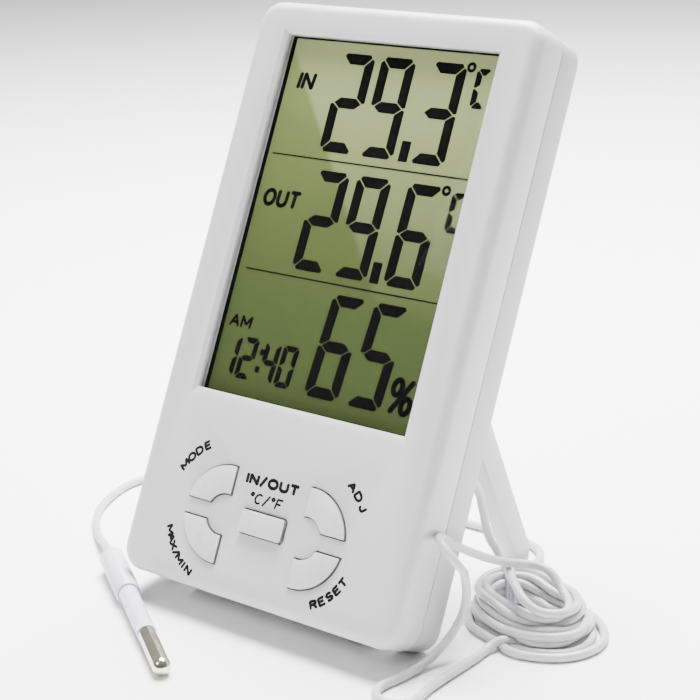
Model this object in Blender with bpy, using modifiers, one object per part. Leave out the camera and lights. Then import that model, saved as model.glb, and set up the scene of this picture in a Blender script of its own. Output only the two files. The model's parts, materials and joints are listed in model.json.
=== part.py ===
"""Desk thermometer with indoor and outdoor sensors, leaning back on a folding two-legged stand.

Frame: +Z up, +X to the reader's right, the display faces -Y. The origin is under the middle of
the case and stand, on the surface they stand on. Parts of the case are placed under an empty
that leans back: in that leaning frame X is across, Y runs from the front face (0) to the back
face (CASE_DEPTH), and Z runs up the face from the bottom edge (0) to the top (CASE_HEIGHT).
"""
import math

import bmesh
import bpy
from mathutils import Matrix, Vector

MM = 0.001
GAP = 0.3 * MM

# Case
CASE_WIDTH = 86 * MM
CASE_HEIGHT = 150 * MM
CASE_DEPTH = 20 * MM
PARTING_DEPTH = 10.7 * MM
CORNER_RADIUS = 6 * MM
FRONT_FILLET = 3 * MM
BACK_FILLET = 1.5 * MM
CORNER_STEPS = 9
FRONT_FILLET_STEPS = 6
BACK_FILLET_STEPS = 4
FRONT_WALL = 2 * MM
CAVITY_RADIUS = 4.4 * MM
LEAN = math.radians(26)
BASE_FORWARD = 42.12 * MM

# Display window and what lies behind it
WINDOW_HALF = 32.2 * MM
WINDOW_BOTTOM = 48.3 * MM
WINDOW_TOP = 141.4 * MM
BEVEL_DEPTH = 0.9 * MM
BEVEL_SIDE = 1.1 * MM
BEVEL_BOTTOM = 2 * MM
GLASS_HALF = 34.2 * MM
GLASS_BOTTOM = 45.8 * MM
GLASS_TOP = 143.4 * MM
LENS_FRONT = FRONT_WALL + GAP
LENS_THICK = 0.7 * MM
LCD_FRONT = LENS_FRONT + LENS_THICK + GAP
LCD_THICK = 1.8 * MM
ZEBRA_HEIGHT = 2.2 * MM
ZEBRA_FRONT = LCD_FRONT + LCD_THICK + GAP
BOARD_FRONT = 7.6 * MM
BOARD_THICK = 1.4 * MM
BOARD_BACK = BOARD_FRONT + BOARD_THICK
BOARD_HALF = 35.4 * MM

# Controls: four sector buttons on two circles, and a rectangular one between them
PANEL_X = -0.8 * MM
PANEL_Z = 19.4 * MM
CIRCLE_SPACING = 12.5 * MM
SECTOR_OUTER = 12 * MM
SECTOR_INNER = 5.2 * MM
SECTOR_SIDE = -0.9 * MM
SECTOR_SPLIT = 2.2 * MM
BUTTON_FIT = 0.35 * MM
FLANGE_GROW = 0.9 * MM
BUTTON_BACK = 4.3 * MM
FLANGE_FRONT = FRONT_WALL + GAP
FLANGE_THICK = 0.8 * MM
SECTOR_PROUD = 0.5 * MM
UNIT_PROUD = 1.0 * MM
UNIT_WIDTH = 13.4 * MM
UNIT_HEIGHT = 5.6 * MM
SWITCH_SIZE = 4.6 * MM
SWITCH_FRONT = 5.8 * MM
SWITCH_STEM_FRONT = 5.3 * MM

# Battery bay in the rear cover
BAY_Z = 40 * MM
BAY_HALF_X = 25.2 * MM
BAY_HALF_Z = 6.4 * MM
BAY_FRONT = 7.8 * MM
TRAY_WALL = 1.6 * MM
DOOR_HALF_X = 26.3 * MM
DOOR_HALF_Z = 7.4 * MM
DOOR_THICK = 1.4 * MM

# Fasteners
SCREW_X = 38.8 * MM
SCREW_LOW = 6.5 * MM
SCREW_HIGH = 143.5 * MM
SCREW_HOLE = 1.45 * MM

# Stand: two legs joined near the hinge, turning on two trunnions, folding into the back
HINGE_UP = 68 * MM
HINGE_INSET = 3 * MM
OPEN_ANGLE = math.radians(50.2)
ARM_INNER_X = 28.5 * MM
ARM_OUTER_X = 33.5 * MM
ARM_OUT = 2.7 * MM
ARM_IN_TOP = 4.4 * MM
ARM_IN_FOOT = 3.3 * MM
FOOT_FLAT = 2.2 * MM
BRIDGE_LOW = 10.5 * MM
BRIDGE_HIGH = 3.5 * MM
CHANNEL_CLEAR = 0.5 * MM
CHANNEL_FLOOR = CASE_DEPTH - HINGE_INSET - ARM_IN_TOP - 0.4 * MM
TRUNNION_RADIUS = 1.5 * MM

# Sensor cable and probe
CABLE_RADIUS = 1.05 * MM
GLAND_X = 38.3 * MM
GLAND_Z = 42 * MM
GLAND_NOSE = 3 * MM
LEAD_STEP = 4.2 * MM
LOOP_STEP = 5.4 * MM
TAIL_STEP = 6.3 * MM
HANK_LEFT = (47.5, 44.5)
HANK_RIGHT = (62.5, 40.0)
HANK_RADIUS = 12.0
HANK_TOP = 12.8 * MM
PROBE_TOP = Vector((-54.2, 9.0, 3.75)) * MM
PROBE_TIP = Vector((-2.2, -26.4, 2.3)) * MM
SLEEVE_RADIUS = 3.2 * MM
NECK_RADIUS = 2.4 * MM
CAP_RADIUS = 2.25 * MM
SLEEVE_LENGTH = 22.2 * MM
NECK_LENGTH = 22.4 * MM


def clear_scene():
    for old in list(bpy.data.objects):
        bpy.data.objects.remove(old, do_unlink=True)


def new_collection(name):
    made = bpy.data.collections.new(name)
    bpy.context.scene.collection.children.link(made)
    return made


def make_material(name, color, roughness, metallic=0.0, alpha=1.0):
    made = bpy.data.materials.new(name)
    made.use_nodes = True
    shader = made.node_tree.nodes["Principled BSDF"]
    shader.inputs["Base Color"].default_value = (*color, 1.0)
    shader.inputs["Roughness"].default_value = roughness
    shader.inputs["Metallic"].default_value = metallic
    shader.inputs["Alpha"].default_value = alpha
    return made


def make_empty(name, location, parent=None, turn_x=0.0):
    made = bpy.data.objects.new(name, None)
    made.location = location
    made.rotation_euler.x = turn_x
    made.parent = parent
    parts.objects.link(made)
    return made


def place(mesh, name, location, parent, material=None, turn=(0, 0, 0)):
    """Link a mesh as a part, or as a hidden cutter when it has no material."""
    made = bpy.data.objects.new(name, mesh)
    made.location = location
    made.rotation_euler = turn
    made.parent = parent
    if material:
        mesh.materials.append(material)
        parts.objects.link(made)
    else:
        made.hide_render = True
        made.display_type = "WIRE"
        cutters.objects.link(made)
    return made


def finish_mesh(work, name, smooth=False):
    mesh = bpy.data.meshes.new(name)
    work.to_mesh(mesh)
    work.free()
    if smooth:
        mesh.shade_smooth()
        mesh.set_sharp_from_angle(angle=math.radians(35))
    return mesh


def turn_matrix(axis, degrees):
    return Matrix.Rotation(math.radians(degrees), 3, axis)


def edges_along(work, axis):
    """Edges of a box that run along one axis (0, 1 or 2)."""
    found = []
    for edge in work.edges:
        way = edge.verts[1].co - edge.verts[0].co
        if abs(way[axis]) > 0.99 * way.length:
            found.append(edge)
    return found


def bevel(work, edges, width, steps):
    bmesh.ops.bevel(work, geom=edges, offset=width, offset_type="OFFSET", segments=steps,
                    profile=0.5, affect="EDGES", clamp_overlap=True)


def box_mesh(name, size, radius=0.0, axis=1, steps=4):
    """A box centred on its origin, with the four edges along one axis rounded."""
    work = bmesh.new()
    bmesh.ops.create_cube(work, size=1.0)
    bmesh.ops.scale(work, vec=size, verts=work.verts)
    if radius:
        bevel(work, edges_along(work, axis), radius, steps)
    return finish_mesh(work, name, smooth=radius > 0)


def span_box(name, low, high, parent, material=None, radius=0.0, axis=1):
    """A box given by its lowest and highest corners in millimetres."""
    low = Vector(low) * MM
    high = Vector(high) * MM
    mesh = box_mesh(name, high - low, radius, axis)
    return place(mesh, name, (low + high) / 2, parent, material)


def cylinder_mesh(name, radius, length, axis, sides=20):
    """A cylinder along one axis, centred on its origin."""
    work = bmesh.new()
    bmesh.ops.create_cone(work, cap_ends=True, segments=sides, radius1=radius, radius2=radius,
                          depth=length)
    turn = {0: ("Y", 90), 1: ("X", 90), 2: ("Z", 0)}[axis]
    matrix = turn_matrix(turn[0], turn[1])
    bmesh.ops.rotate(work, verts=work.verts, cent=(0, 0, 0), matrix=matrix)
    return finish_mesh(work, name, smooth=True)


def rod(name, radius, start, end, axis, parent, material=None, sides=20):
    """A cylinder between two points in millimetres that differ along one axis."""
    start = Vector(start) * MM
    end = Vector(end) * MM
    mesh = cylinder_mesh(name, radius, (end - start).length, axis, sides)
    return place(mesh, name, (start + end) / 2, parent, material)


def boolean(target, other, operation):
    step = target.modifiers.new(other.name, "BOOLEAN")
    step.operation = operation
    step.solver = "EXACT"
    step.object = other


def cut(target, other):
    boolean(target, other, "DIFFERENCE")


def join(target, other):
    boolean(target, other, "UNION")


def outline_mesh(name, points, thickness, flat=False):
    """An outline filled and given a thickness along Y, or along Z when it lies flat."""
    curve = bpy.data.curves.new(name, "CURVE")
    curve.dimensions = "2D"
    curve.fill_mode = "BOTH"
    curve.extrude = thickness / 2
    spline = curve.splines.new("POLY")
    spline.points.add(len(points) - 1)
    for knot, point in zip(spline.points, points):
        knot.co = (point[0], point[1], 0, 1)
    spline.use_cyclic_u = True
    carrier = bpy.data.objects.new(name, curve)
    cutters.objects.link(carrier)
    bpy.context.view_layer.update()
    mesh = bpy.data.meshes.new_from_object(carrier.evaluated_get(depsgraph()))
    bpy.data.objects.remove(carrier, do_unlink=True)
    bpy.data.curves.remove(curve)
    work = bmesh.new()
    work.from_mesh(mesh)
    bmesh.ops.remove_doubles(work, verts=work.verts, dist=0.00001)
    if not flat:
        bmesh.ops.rotate(work, verts=work.verts, cent=(0, 0, 0), matrix=turn_matrix("X", 90))
    bmesh.ops.recalc_face_normals(work, faces=work.faces)
    work.to_mesh(mesh)
    work.free()
    mesh.name = name
    return mesh


def depsgraph():
    return bpy.context.evaluated_depsgraph_get()


def turned(name, profile, location, parent, material, turn=(0, 0, 0), sides=20):
    """A solid of revolution about Z from (radius, height) points, listed top to bottom."""
    mesh = bpy.data.meshes.new(name)
    points = [(radius, 0, height) for radius, height in profile]
    links = [(index, index + 1) for index in range(len(points) - 1)]
    mesh.from_pydata(points, links, [])
    made = place(mesh, name, location, parent, material, turn)
    screw = made.modifiers.new("turn", "SCREW")
    screw.steps = sides
    screw.render_steps = sides
    screw.use_merge_vertices = True
    screw.merge_threshold = 0.00001
    screw.use_smooth_shade = True
    return made


def smooth_route(knots, spacing):
    """Points read at an even spacing from a smooth curve through the knots."""
    ends = [knots[0] * 2 - knots[1]] + knots + [knots[-1] * 2 - knots[-2]]
    dense = []
    steps = 24
    for index in range(1, len(ends) - 2):
        a, b, c, d = ends[index - 1:index + 3]
        for step in range(steps):
            t = step / steps
            dense.append(0.5 * (2 * b + (c - a) * t + (2 * a - 5 * b + 4 * c - d) * t ** 2
                                + (3 * b - a - 3 * c + d) * t ** 3))
    dense.append(knots[-1])
    total = sum((q - p).length for p, q in zip(dense, dense[1:]))
    count = max(2, round(total / spacing))
    route = [dense[0]]
    walked = 0.0
    for p, q in zip(dense, dense[1:]):
        walked += (q - p).length
        if walked >= total * len(route) / count and len(route) < count:
            route.append(q.copy())
    route.append(dense[-1])
    return route


def tube(name, points, radius, material, parent=None, resolution=2):
    """A wire or cable: a poly curve with a round bevel and filled caps."""
    curve = bpy.data.curves.new(name, "CURVE")
    curve.dimensions = "3D"
    curve.bevel_depth = radius
    curve.bevel_resolution = resolution
    curve.use_fill_caps = True
    spline = curve.splines.new("POLY")
    spline.points.add(len(points) - 1)
    for knot, point in zip(spline.points, points):
        knot.co = (*point, 1)
    made = bpy.data.objects.new(name, curve)
    made.parent = parent
    curve.materials.append(material)
    parts.objects.link(made)
    return made


def mm_points(rows):
    return [Vector(row) * MM for row in rows]


def tapered_box_mesh(name, back, front):
    """A box whose back and front rectangles differ: each is (half x, low z, high z, y)."""
    work = bmesh.new()
    bmesh.ops.create_cube(work, size=1.0)
    for vert in work.verts:
        half, low, high, depth = back if vert.co.y > 0 else front
        vert.co = (math.copysign(half, vert.co.x), depth, high if vert.co.z > 0 else low)
    return finish_mesh(work, name)


def sector_outline(side, up, grow=0.0):
    """A quarter of a ring: side and up are +1 or -1, grow widens it all round."""
    outer = SECTOR_OUTER + grow
    inner = SECTOR_INNER - grow
    edge = SECTOR_SIDE - grow
    split = SECTOR_SPLIT - grow
    points = arc_points(outer, math.asin(split / outer), math.acos(edge / outer), 12)
    points += arc_points(inner, math.acos(edge / inner), math.asin(split / inner), 6)
    return [(side * x, up * z) for x, z in points]


def arc_points(radius, start, end, steps):
    angles = [start + (end - start) * step / steps for step in range(steps + 1)]
    return [(radius * math.cos(angle), radius * math.sin(angle)) for angle in angles]


def front_cover(case, plastic):
    work = bmesh.new()
    bmesh.ops.create_cube(work, size=1.0)
    bmesh.ops.scale(work, vec=(CASE_WIDTH, PARTING_DEPTH, CASE_HEIGHT), verts=work.verts)
    bevel(work, edges_along(work, 1), CORNER_RADIUS, CORNER_STEPS)
    rim = [edge for edge in work.edges if all(v.co.y < 0 for v in edge.verts)]
    bevel(work, rim, FRONT_FILLET, FRONT_FILLET_STEPS)
    mesh = finish_mesh(work, "front_cover", smooth=True)
    middle = (0, PARTING_DEPTH / 2, CASE_HEIGHT / 2)
    cover = place(mesh, "front_cover", middle, case, plastic)
    inner = (CASE_WIDTH / MM / 2 - 1.8, CASE_HEIGHT / MM - 1.8)
    cut(cover, span_box("cut_front_cavity", (-inner[0], FRONT_WALL / MM, 1.8),
                        (inner[0], 14, inner[1]), case, radius=CAVITY_RADIUS))
    for x, z in screw_places():
        boss = rod("boss_front", 2.7 * MM, (x / MM, 1.5, z / MM), (x / MM, 10.4, z / MM), 1, case)
        join(cover, boss)
        hole = rod("hole_front", SCREW_HOLE, (x / MM, 4, z / MM), (x / MM, 12, z / MM), 1, case)
        cut(cover, hole)
    window = tapered_box_mesh(
        "cut_window", (WINDOW_HALF, WINDOW_BOTTOM, WINDOW_TOP, 4 * MM),
        (WINDOW_HALF, WINDOW_BOTTOM, WINDOW_TOP, -MM))
    cut(cover, place(window, "cut_window", (0, 0, 0), case))
    reach = 1.5
    slope = tapered_box_mesh(
        "cut_window_bevel", (WINDOW_HALF - 0.01 * MM, WINDOW_BOTTOM, WINDOW_TOP, BEVEL_DEPTH),
        (WINDOW_HALF + BEVEL_SIDE * reach, WINDOW_BOTTOM - BEVEL_BOTTOM * reach,
         WINDOW_TOP + BEVEL_SIDE * reach, BEVEL_DEPTH * (1 - reach)))
    cut(cover, place(slope, "cut_window_bevel", (0, 0, 0), case))
    for name, side, up in sector_places():
        shape = outline_mesh("cut_" + name, sector_outline(side, up, BUTTON_FIT), 6 * MM)
        cut(cover, place(shape, "cut_" + name, sector_centre(side), case))
    size = (UNIT_WIDTH + 2 * BUTTON_FIT, 6 * MM, UNIT_HEIGHT + 2 * BUTTON_FIT)
    shape = box_mesh("cut_unit", size, 1.1 * MM)
    cut(cover, place(shape, "cut_unit", (PANEL_X, 0, PANEL_Z), case))
    return cover


def screw_places():
    return [(x, z) for z in (SCREW_LOW, SCREW_HIGH) for x in (-SCREW_X, SCREW_X)]


def sector_places():
    return [("mode", -1, 1), ("max_min", -1, -1), ("adjust", 1, 1), ("reset", 1, -1)]


def sector_centre(side):
    return (PANEL_X + side * CIRCLE_SPACING, 0, PANEL_Z)


def rear_cover(case, plastic):
    depth = CASE_DEPTH - PARTING_DEPTH - GAP
    work = bmesh.new()
    bmesh.ops.create_cube(work, size=1.0)
    bmesh.ops.scale(work, vec=(CASE_WIDTH, depth, CASE_HEIGHT), verts=work.verts)
    bevel(work, edges_along(work, 1), CORNER_RADIUS, CORNER_STEPS)
    rim = [edge for edge in work.edges if all(v.co.y > 0 for v in edge.verts)]
    bevel(work, rim, BACK_FILLET, BACK_FILLET_STEPS)
    mesh = finish_mesh(work, "rear_cover", smooth=True)
    cover = place(mesh, "rear_cover", (0, CASE_DEPTH - depth / 2, CASE_HEIGHT / 2), case, plastic)
    hollow_rear_cover(cover, case)
    add_battery_tray(cover, case)
    cut_stand_channel(cover, case)
    cut_rear_holes(cover, case)
    return cover


def hollow_rear_cover(cover, case):
    cut(cover, span_box("cut_rear_top", (-41.2, 8, 76), (41.2, 18.2, 148.2), case,
                        radius=CAVITY_RADIUS))
    cut(cover, span_box("cut_rear_middle", (-26.5, 8, 1.8), (26.5, 18.2, 55.4), case))
    cut(cover, span_box("cut_rear_neck", (-26.5, 8, 68.6), (26.5, 18.2, 82), case))
    for side in (-1, 1):
        low, high = sorted((side * 35.4, side * 41.2))
        cut(cover, span_box("cut_rear_side", (low, 8, 1.8), (high, 18.2, 84), case,
                            radius=2.5 * MM))
    for x, z in screw_places():
        x, z = x / MM, z / MM
        join(cover, rod("boss_rear", 3.65 * MM, (x, 11.2, z), (x, 19, z), 1, case))
        cut(cover, rod("counterbore", 2.5 * MM, (x, 14, z), (x, 22, z), 1, case))
        cut(cover, rod("hole_rear", SCREW_HOLE, (x, 9, z), (x, 15, z), 1, case))


def add_battery_tray(cover, case):
    half_x = BAY_HALF_X / MM
    low = (BAY_Z - BAY_HALF_Z) / MM
    high = (BAY_Z + BAY_HALF_Z) / MM
    wall = TRAY_WALL / MM
    front = BAY_FRONT / MM
    tray = span_box("tray", (-27, front - 1, low - wall), (27, 19, high + wall), case)
    join(cover, tray)
    cut(cover, span_box("cut_bay", (-half_x, front, low), (half_x, 22, high), case))
    door_x = (DOOR_HALF_X + GAP) / MM
    door_z = DOOR_HALF_Z + GAP
    cut(cover, span_box("cut_door", (-door_x, 18.3, (BAY_Z - door_z) / MM),
                        (door_x, 22, (BAY_Z + door_z) / MM), case))


def cut_stand_channel(cover, case):
    clear = CHANNEL_CLEAR
    floor = CHANNEL_FLOOR / MM
    top = (HINGE_UP + ARM_IN_TOP + clear) / MM
    for side in (-1, 1):
        low, high = sorted((side * (ARM_INNER_X - clear) / MM, side * (ARM_OUTER_X + clear) / MM))
        cut(cover, span_box("cut_channel", (low, floor, -2), (high, 22, top), case))
        low, high = sorted((side * (ARM_OUTER_X - MM) / MM, side * 37))
        hinge = (CASE_DEPTH - HINGE_INSET) / MM
        hole = rod("cut_trunnion", TRUNNION_RADIUS + GAP, (low, hinge, HINGE_UP / MM),
                   (high, hinge, HINGE_UP / MM), 0, case)
        cut(cover, hole)
    cross = (ARM_INNER_X + MM) / MM
    low = (HINGE_UP - BRIDGE_LOW - 2 * clear) / MM
    high = (HINGE_UP - BRIDGE_HIGH + 5 * clear) / MM
    cut(cover, span_box("cut_bridge", (-cross, floor, low), (cross, 22, high), case))


def cut_rear_holes(cover, case):
    gland = (GLAND_X / MM, GLAND_Z / MM)
    cut(cover, rod("cut_gland", 2.2 * MM, (gland[0], 16, gland[1]), (gland[0], 22, gland[1]), 1, case))
    cut(cover, rod("cut_keyhole", 4 * MM, (0, 16, 128), (0, 22, 128), 1, case, sides=24))
    cut(cover, span_box("cut_keyslot", (-1.6, 16, 128), (1.6, 22, 136), case))
    for row in range(5):
        z = 106 + 2.6 * row
        cut(cover, span_box("cut_vent", (8, 16, z), (22, 22, z + 1.2), case))


def display_stack(case, clear, glass, silver, rubber):
    half = GLASS_HALF / MM
    low = GLASS_BOTTOM / MM
    high = GLASS_TOP / MM
    front = LENS_FRONT / MM
    span_box("display_lens", (-half, front, low), (half, front + LENS_THICK / MM, high), case, clear)
    front = LCD_FRONT / MM
    span_box("lcd_panel", (-half, front, low), (half, front + LCD_THICK / MM, high), case, glass)
    front = ZEBRA_FRONT / MM
    span_box("lcd_reflector", (1.2 - half, front, low + 5.2), (half - 1.2, front + 0.4, high - 5.2),
             case, silver)
    tall = ZEBRA_HEIGHT / MM
    back = (BOARD_FRONT - GAP) / MM
    for name, foot in (("zebra_strip_bottom", low + 2.5), ("zebra_strip_top", high - 2.5 - tall)):
        span_box(name, (-31, front, foot), (31, back, foot + tall), case, rubber)


def circuit_board(case, green):
    half = BOARD_HALF / MM
    front = BOARD_FRONT / MM
    board = span_box("circuit_board", (-half, front, 4.2), (half, BOARD_BACK / MM, 145), case, green)
    side = (BAY_HALF_X + TRAY_WALL + MM) / MM
    tall = (BAY_HALF_Z + TRAY_WALL + 0.5 * MM) / MM
    middle = BAY_Z / MM
    cut(board, span_box("cut_board", (-side, front - 2, middle - tall), (side, 12, middle + tall), case))


def board_parts(case, black, metal, white):
    back = (BOARD_BACK + GAP) / MM
    dome = [(0, 1.5), (1.6, 1.42), (3.0, 1.15), (4.2, 0.7), (5, 0), (0, 0)]
    profile = [(radius * MM, height * MM) for radius, height in dome]
    facing_back = (math.radians(-90), 0, 0)
    turned("chip_blob", profile, Vector((-8, back, 95)) * MM, case, black, facing_back)
    rod("timing_crystal", 1 * MM, (9, back + 1, 86), (15, back + 1, 86), 0, case, metal, sides=12)
    span_box("humidity_sensor", (11, back, 108), (19, back + 3, 119), case, white, radius=0.6 * MM)
    rod("buzzer", 6 * MM, (-14, back, 21), (-14, back + 3.2, 21), 1, case, black, sides=28)
    bead = [(0, 2.6), (0.8, 2.3), (1.2, 1.4), (0.9, 0.5), (0, 0)]
    profile = [(radius * MM, height * MM) for radius, height in bead]
    turned("room_thermistor", profile, Vector((25, back, 112)) * MM, case, black, facing_back, sides=12)


def tact_switch(name, x, z, case, black):
    x, z = x / MM, z / MM
    half = SWITCH_SIZE / MM / 2
    body = span_box(name, (x - half, SWITCH_FRONT / MM, z - half),
                    (x + half, (BOARD_FRONT - GAP) / MM, z + half), case, black)
    join(body, rod("stem_" + name, 1.1 * MM, (x, SWITCH_STEM_FRONT / MM, z), (x, 6.4, z), 1, case, sides=12))


def sector_button(name, side, up, case, plastic):
    """A button and its switch; the retaining flange sits behind the front wall."""
    holder = make_empty("axis_" + name, sector_centre(side), case)
    depth = BUTTON_BACK + SECTOR_PROUD
    shape = outline_mesh("button_" + name, sector_outline(side, up), depth)
    middle = (0, (BUTTON_BACK - SECTOR_PROUD) / 2, 0)
    button = place(shape, "button_" + name, middle, holder, plastic)
    flange = outline_mesh("flange_" + name, sector_outline(side, up, FLANGE_GROW), FLANGE_THICK)
    join(button, place(flange, "flange_" + name, (0, FLANGE_FRONT + FLANGE_THICK / 2, 0), holder))


def unit_button(case, plastic):
    holder = make_empty("axis_unit", (PANEL_X, 0, PANEL_Z), case)
    size = Vector((UNIT_WIDTH, BUTTON_BACK + UNIT_PROUD, UNIT_HEIGHT))
    middle = (0, (BUTTON_BACK - UNIT_PROUD) / 2, 0)
    button = place(box_mesh("button_unit", size, 0.8 * MM), "button_unit", middle, holder, plastic)
    grown = (UNIT_WIDTH + 2 * FLANGE_GROW, FLANGE_THICK, UNIT_HEIGHT + 2 * FLANGE_GROW)
    flange = box_mesh("flange_unit", grown, MM)
    join(button, place(flange, "flange_unit", (0, FLANGE_FRONT + FLANGE_THICK / 2, 0), holder))


def controls(case, plastic, black):
    reach = 6.4 * MM
    for name, side, up in sector_places():
        sector_button(name, side, up, case, plastic)
        x = PANEL_X + side * (CIRCLE_SPACING + reach)
        tact_switch("switch_" + name, x, PANEL_Z + up * reach, case, black)
    unit_button(case, plastic)
    tact_switch("switch_unit", PANEL_X, PANEL_Z, case, black)


def battery_and_contacts(case, skin, metal):
    length = [(0, 22.2), (1.9, 22.2), (1.9, 21.3), (5.1, 21.3), (5.1, -22.2), (0, -22.2)]
    profile = [(radius * MM, height * MM) for radius, height in length]
    middle = Vector((0.9, 13.05, BAY_Z / MM)) * MM
    along = (0, math.radians(90), 0)
    turned("battery", profile, middle, case, skin, along, sides=24)
    z = BAY_Z / MM
    plate = span_box("battery_contact", (24.3, 9.5, z - 4), (24.8, 16.5, z + 4), case, metal)
    join(plate, rod("dimple", 2 * MM, (23.5, 13.05, z), (24.6, 13.05, z), 0, case, sides=12))
    turns = 3
    steps = 10 * turns
    coil = []
    for step in range(steps + 1):
        share = step / steps
        angle = math.tau * turns * share
        radius = (3.6 - 1.6 * share) * MM
        coil.append(Vector((-24.6 * MM + 2.7 * MM * share, 13.05 * MM + radius * math.cos(angle),
                            BAY_Z + radius * math.sin(angle))))
    tube("battery_spring", coil, 0.25 * MM, metal, case, resolution=1)


def battery_door(case, plastic):
    holder = make_empty("axis_battery_door", (0, CASE_DEPTH, BAY_Z), case)
    size = (2 * DOOR_HALF_X, DOOR_THICK, 2 * DOOR_HALF_Z)
    mesh = box_mesh("battery_door", size, 0.8 * MM)
    door = place(mesh, "battery_door", (0, -DOOR_THICK / 2, 0), holder, plastic)
    for row in range(4):
        ridge = box_mesh("ridge", (9 * MM, 0.8 * MM, 0.8 * MM))
        spot = (0, 0.1 * MM, (-5 + 1.7 * row) * MM)
        join(door, place(ridge, "ridge", spot, holder))


def screws(case, metal):
    profile = [(0, 1.4), (1.5, 1.4), (2.1, 0.9), (2.1, 0), (1.1, 0), (1.1, -8.6), (0, -9.4)]
    points = [(radius * MM, height * MM) for radius, height in profile]
    for index, (x, z) in enumerate(screw_places()):
        turned("screw_%d" % (index + 1), points, (x, 14.3 * MM, z), case, metal,
               (math.radians(-90), 0, 0), sides=16)


def arm_outline(length):
    """Side view of a leg, folded: Y out of the back, Z up, the hinge axis at the origin."""
    top = math.acos(ARM_OUT / ARM_IN_TOP)
    points = [(y, z) for y, z in arc_points(ARM_IN_TOP, math.pi, top, 10)]
    tip = FOOT_FLAT * math.tan(OPEN_ANGLE - LEAN)
    flat_end = -ARM_IN_FOOT + FOOT_FLAT
    points += [(ARM_OUT, -length + 2.4 * MM), (flat_end + 2 * MM, -length - tip + 0.6 * MM)]
    points += [(flat_end, -length - tip), (-ARM_IN_FOOT, -length)]
    return points


def stand_length(hinge_height):
    """Distance from hinge to the foot's inner corner that puts the foot on the ground."""
    tilt = OPEN_ANGLE - LEAN
    return (hinge_height - ARM_IN_FOOT * math.sin(tilt)) / math.cos(tilt)


def stand(case, case_raise, plastic):
    hinge_depth = CASE_DEPTH - HINGE_INSET
    hinge_height = HINGE_UP * math.cos(LEAN) - hinge_depth * math.sin(LEAN) + case_raise
    length = stand_length(hinge_height)
    hinge = make_empty("axis_stand", (0, hinge_depth, HINGE_UP), case, OPEN_ANGLE)
    width = ARM_OUTER_X - ARM_INNER_X
    middle = (ARM_INNER_X + ARM_OUTER_X) / 2
    across = (0, 0, math.radians(90))
    arm = outline_mesh("stand", arm_outline(length), width)
    bail = place(arm, "stand", (-middle, 0, 0), hinge, plastic, across)
    other = outline_mesh("stand_arm", arm_outline(length), width)
    join(bail, place(other, "stand_arm", (middle, 0, 0), hinge, turn=across))
    reach = (ARM_OUTER_X - MM) / MM
    join(bail, span_box("stand_bridge", (-reach, -4, -BRIDGE_LOW / MM), (reach, 2.4, -BRIDGE_HIGH / MM),
                        hinge, radius=0.8 * MM, axis=0))
    outer = ARM_OUTER_X / MM
    for side in (-1, 1):
        low, high = sorted((side * (outer - 1), side * (outer + 1.6)))
        join(bail, rod("trunnion", TRUNNION_RADIUS, (low, 0, 0), (high, 0, 0), 0, hinge, sides=16))


def cable_gland(case, rubber):
    nose = GLAND_NOSE / MM
    profile = [(0, nose), (1.5, nose), (2.1, 1.3), (2.8, 1.2), (2.8, 0.3), (1.9, 0.3), (1.9, -2.6),
               (0, -2.6)]
    points = [(radius * MM, height * MM) for radius, height in profile]
    place_at = (GLAND_X, CASE_DEPTH, GLAND_Z)
    turned("cable_gland", points, place_at, case, rubber, (math.radians(-90), 0, 0), sides=16)


def hank_outline():
    """An oval round the hank's two fold centres, in metres on the ground."""
    left = Vector(HANK_LEFT)
    right = Vector(HANK_RIGHT)
    heading = math.atan2(right.y - left.y, right.x - left.x)
    points = []
    for centre, start in ((right, heading - math.pi / 2), (left, heading + math.pi / 2)):
        for x, y in arc_points(HANK_RADIUS, start, start + math.pi, 12):
            points.append(((centre.x + x) * MM, (centre.y + y) * MM))
    return points


def sensor_cable(material, ground):
    """The lead out of the case, the hank, a loose loop off it, and the run to the probe."""
    shape = outline_mesh("cable_hank", hank_outline(), HANK_TOP, flat=True)
    place(shape, "cable_hank", (0, 0, HANK_TOP / 2), ground, material)
    lead = [(38.3, 39.6, 36.0), (38.35, 41.6, 34.4), (38.5, 43.2, 31), (38.9, 44.2, 26),
            (39.8, 45, 20), (41.8, 45.6, 16.2), (43.6, 45.8, 13.7)]
    loop = [(49, 47, 13.9), (46.8, 43, 15.3), (45.2, 38, 17.6), (44.4, 32.4, 21), (44.3, 27, 24.4),
            (44.5, 22, 27.4), (45.4, 17.4, 29.9), (47, 14.4, 31), (48.7, 14.2, 30),
            (49.6, 16.2, 27.6), (49.7, 18.8, 24.3), (49.5, 20.9, 20.4), (49.2, 21.9, 16.4),
            (48.7, 21.8, 12.6), (47.9, 20.6, 9.2), (46.8, 18.3, 6), (45.6, 15.2, 3.4),
            (44.6, 11.2, 1.8), (43.8, 6, 1.25), (42.9, 0, 1.2), (43.2, -5.6, 1.2), (47, -8.4, 1.2),
            (50.8, -5.6, 1.2), (51.4, 4, 1.2), (51.8, 14, 1.2), (52.2, 23, 1.2), (52.5, 29.5, 1.2)]
    tail = [(41.9, 55.9, 1.3), (39.2, 61, 1.2), (36.9, 68, 1.2), (36.2, 75, 1.2), (31, 80.6, 1.2),
            (18, 83, 1.2), (0, 83.2, 1.2), (-20, 83, 1.2), (-40, 82, 1.2), (-58, 79, 1.2),
            (-74, 73, 1.2), (-85, 64, 1.2), (-89.5, 53, 1.2), (-87, 41, 1.2), (-81, 30, 1.2),
            (-70.6, 20.2, 1.5), (-62.6, 14.8, 2.8), (-54.5, 9.2, 3.7)]
    runs = (("cable_lead", lead, LEAD_STEP), ("cable_loop", loop, LOOP_STEP),
            ("cable_tail", tail, TAIL_STEP))
    for name, knots, step in runs:
        tube(name, smooth_route(mm_points(knots), step), CABLE_RADIUS, material, ground)


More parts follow.
